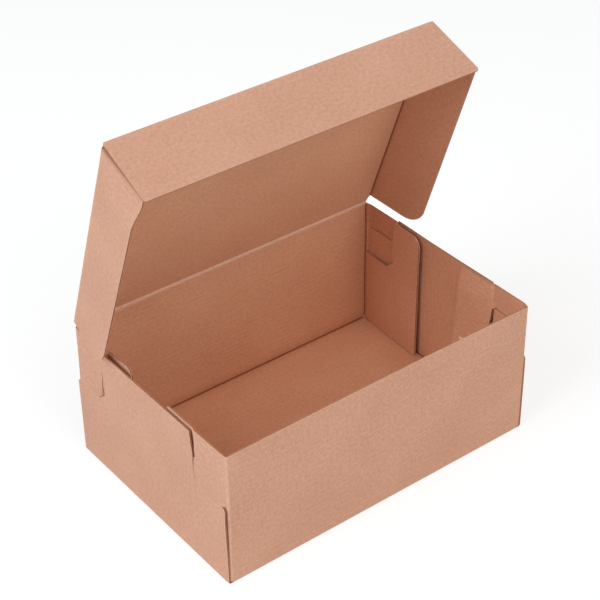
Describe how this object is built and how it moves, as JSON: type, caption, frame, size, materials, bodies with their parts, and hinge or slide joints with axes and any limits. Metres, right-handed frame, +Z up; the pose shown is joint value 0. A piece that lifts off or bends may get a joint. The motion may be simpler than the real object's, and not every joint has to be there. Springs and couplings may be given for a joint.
{
  "type": "takeaway meal box",
  "caption": "Rectangular takeaway box folded from brown corrugated board, with corner flaps locked by tongues and a deep hinged lid that stands open.",
  "frame": {"origin": "centre of the underside of the base, on the surface that it stands on", "axes": "+X along the length, +Y from the front wall to the hinge, +Z up"},
  "size_m": [0.2284, 0.15, 0.2379],
  "materials": {
    "kraft_board": "uncoated brown kraft liner, matt"
  },
  "bodies": {
    "base": {"base_tray": "kraft_board"},
    "lid": {"lid": "kraft_board"}
  },
  "joints": [
    {"name": "lid_hinge", "type": "hinge", "parent": "base", "child": "lid", "pos_m": [0, 0.0744, 0.0919], "axis": [-1, 0, 0], "range_deg": [-70, 110]}
  ]
}
